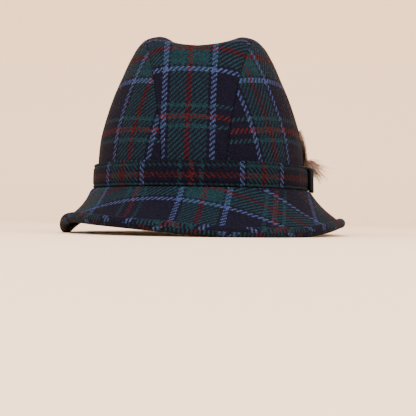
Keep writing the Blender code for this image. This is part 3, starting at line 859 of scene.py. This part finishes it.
for row in FEATHERS:
    length = row.length * FEATHER_LENGTH
    shares = np.linspace(0, 1, FEATHER_STATIONS + 1)
    middle, across = feather_line(row, shares)
    ahead = unit(np.gradient(middle, axis=0))
    away = unit(np.cross(across, ahead))
    away *= np.sign(away[:, :1])
    quill = middle + away * SHAFT_THICKNESS / 4
    add_hair(quill, SHAFT_THICKNESS, SHAFT_THICKNESS / 2, away[FEATHER_STATIONS // 2], SHAFT_TINT)
    count = int(length / BARB_SPACING)
    for n in range(count):
        foot = BARE_QUILL + BARBED_SHARE * (n + chance.random() / 2) / count
        for hand in (-1, 1):
            reach = row.width * FEATHER_WIDTH / 2 * float(read(VANE, foot, "along", "width"))
            reach *= chance.uniform(BARB_LEAST, 1.0)
            onward = reach / math.tan(math.radians(BARB_SLANT)) / length
            path = []
            for step in BARB_STEPS:
                at = min(foot + onward * step * (1 - BARB_BEND + BARB_BEND * step), 1.0)
                normal = along_line(away, shares, at)
                cup = BARB_WIDTH * chance.random() + (FEATHER_CUP if hand < 0 else -BARB_WIDTH) * step ** 2
                sideways = along_line(across, shares, at) * hand * reach * step
                path.append(along_line(middle, shares, at) + sideways + normal * cup)
            add_hair(path, BARB_WIDTH, BARB_WIDTH / 4, normal, BARB_TINT * chance.random())

upward = np.array([0.0, 0.0, 1.0])
back = unit(wall_point(0.0, plume_turn + SLOPE_STEP) - wall_point(0.0, plume_turn - SLOPE_STEP))
away = np.cross(back, upward)
shares = np.linspace(0, 1, DOWN_STATIONS + 1)
for row in TUFT:
    lock_tint = chance.random()
    for _ in range(DOWN_IN_LOCK):
        lean = math.radians(row.out + chance.gauss(0, LEAN_SPREAD))
        aside = math.radians(row.back + chance.gauss(0, ASIDE_SPREAD))
        ahead = upward * math.cos(lean) + (away * math.cos(aside) + back * math.sin(aside)) * math.sin(lean)
        root = plume_root + upward * PLUME_HEAD_RADIUS * chance.gauss(-0.2, ROOT_SPREAD)
        root = root + back * PLUME_HEAD_RADIUS * chance.gauss(0, ROOT_SPREAD)
        root = root + away * PLUME_HEAD_RADIUS * ROOT_REACH * chance.random() ** 1.4
        reach = row.length * DOWN_LENGTH * chance.uniform(0.5, 1.06)
        bend = np.array([chance.gauss(0, DOWN_BEND) for _ in range(3)]) - upward * DOWN_DROOP
        path = root + reach * (ahead * shares[:, None] + bend * shares[:, None] ** 2)
        tint = 0.1 + 0.4 * chance.random() + 0.35 * lock_tint
        add_hair(path, DOWN_THICKNESS, DOWN_THICKNESS, np.cross(ahead, upward), tint)
        for _ in range(TWIGS):
            at = chance.uniform(0.1, 0.95)
            twig = unit(np.array([chance.gauss(0, 1) for _ in range(3)]) + ahead * 0.9)
            twig = twig * chance.uniform(TWIG_SHORTEST, TWIG_LONGEST) * (1.15 - at)
            start = along_line(path, shares, at)
            hair = [start, start + twig * 0.5, start + twig - upward * TWIG_SAG]
            tint = 0.4 + 0.4 * chance.random()
            add_hair(hair, DOWN_THICKNESS / 2, DOWN_THICKNESS / 2, np.cross(twig, back), tint)

# Brown at a hair's root, to tan at its tip.
FEATHER_HUES = [
    (0.0, (0.050, 0.015, 0.009)),
    (0.3, (0.110, 0.045, 0.028)),
    (0.6, (0.270, 0.165, 0.115)),
    (1.0, (0.620, 0.500, 0.390)),
]
feather_finish, shader = new_finish("feather")
tree = feather_finish.node_tree
split = Socket(tree).node("ShaderNodeUVMap", {"uv_map": "cloth"})
split = split.node("ShaderNodeSeparateXYZ", {}, {0: split})
brightness = split * 0.5 + Socket(tree, split.socket.node.outputs[1]) * 0.5
hue = brightness.node("ShaderNodeValToRGB", {"stops": FEATHER_HUES}, {0: brightness})
tree.links.new(hue.socket, shader.inputs["Base Color"])
shader.inputs["Roughness"].default_value = 0.6
shader.inputs["Specular IOR Level"].default_value = 0.3
plume = make_piece("feather_plume_barbs", plume_faces, plume_points, plume_corners, feather_finish)
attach(plume, "root")
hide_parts("feather_plume")

# Floor and light
FLOOR_COLOUR = (0.95, 0.67, 0.45)
FLOOR_HALF = 4.0
FLOOR_DEPTH = 2.2
CURVE_RADIUS = 0.6
CURVE_STEPS = 12
WALL_TOP = 3.0
floor_finish, shader = new_finish("floor")
shader.inputs["Base Color"].default_value = (*FLOOR_COLOUR, 1.0)
shader.inputs["Roughness"].default_value = 0.9
floor_mesh = bpy.data.meshes.new("floor")
form = bmesh.new()
outline = [(-FLOOR_HALF, 0.0), (FLOOR_DEPTH - CURVE_RADIUS, 0.0)]
for n in range(1, CURVE_STEPS + 1):
    angle = math.pi / 2 * n / CURVE_STEPS
    back = FLOOR_DEPTH - CURVE_RADIUS + CURVE_RADIUS * math.sin(angle)
    outline.append((back, CURVE_RADIUS * (1 - math.cos(angle))))
outline.append((FLOOR_DEPTH, WALL_TOP))
rows = [[form.verts.new((x, y, z)) for x in (-FLOOR_HALF, FLOOR_HALF)] for y, z in outline]
for a, b in zip(rows, rows[1:]):
    form.faces.new((a[0], a[1], b[1], b[0]))
form.to_mesh(floor_mesh)
form.free()
floor_mesh.shade_smooth()
floor_mesh.materials.append(floor_finish)
floor = bpy.data.objects.new("floor", floor_mesh)
bpy.context.scene.collection.objects.link(floor)


def area_light(name, place, aim, size, power, colour):
    data = bpy.data.lights.new(name, "AREA")
    data.shape = "RECTANGLE"
    data.size, data.size_y = size
    data.energy = power
    data.color = colour
    lamp = bpy.data.objects.new(name, data)
    lamp.location = place
    lamp.rotation_euler = (Vector(aim) - Vector(place)).to_track_quat("-Z", "Y").to_euler()
    bpy.context.scene.collection.objects.link(lamp)


HAT_MIDDLE = (0.0, 0.0, 0.08)
area_light("key", (-0.7, -1.1, 1.3), HAT_MIDDLE, (1.2, 1.0), 34.0, (1.0, 0.97, 0.93))
area_light("fill", (1.0, -0.9, 0.4), HAT_MIDDLE, (0.8, 0.8), 13.0, (1.0, 0.98, 0.96))
world = bpy.data.worlds.new("studio")
world.use_nodes = True
world.node_tree.nodes["Background"].inputs["Color"].default_value = (1.0, 0.97, 0.94, 1.0)
world.node_tree.nodes["Background"].inputs["Strength"].default_value = 2.5
bpy.context.scene.world = world

# Camera
CAMERA_TURN = 2.8
CAMERA_DISTANCE = 0.75
CAMERA_ASIDE = 0.0032
CAMERA_HEIGHT = 0.0125
CAMERA_TILT = 0.61
CAMERA_ROLL = 0.75
LENS = 81.1
CLIP_START = 0.005
turn, tilt, roll = (math.radians(each) for each in (CAMERA_TURN, CAMERA_TILT, CAMERA_ROLL))
ahead = Vector((-math.sin(turn), math.cos(turn), 0))
right = Vector((math.cos(turn), math.sin(turn), 0))
eye = right * CAMERA_ASIDE - ahead * CAMERA_DISTANCE + Vector((0, 0, CAMERA_HEIGHT))
look = ahead * math.cos(tilt) + Vector((0, 0, math.sin(tilt)))
up = right.cross(look)
rolled_right = right * math.cos(roll) + up * math.sin(roll)
rolled_up = up * math.cos(roll) - right * math.sin(roll)
data = bpy.data.cameras.new("camera")
data.lens = LENS
data.clip_start = CLIP_START
camera = bpy.data.objects.new("camera", data)
turned = Matrix((rolled_right, rolled_up, -look)).transposed().to_4x4()
camera.matrix_world = Matrix.Translation(eye) @ turned
bpy.context.scene.collection.objects.link(camera)
bpy.context.scene.camera = camera

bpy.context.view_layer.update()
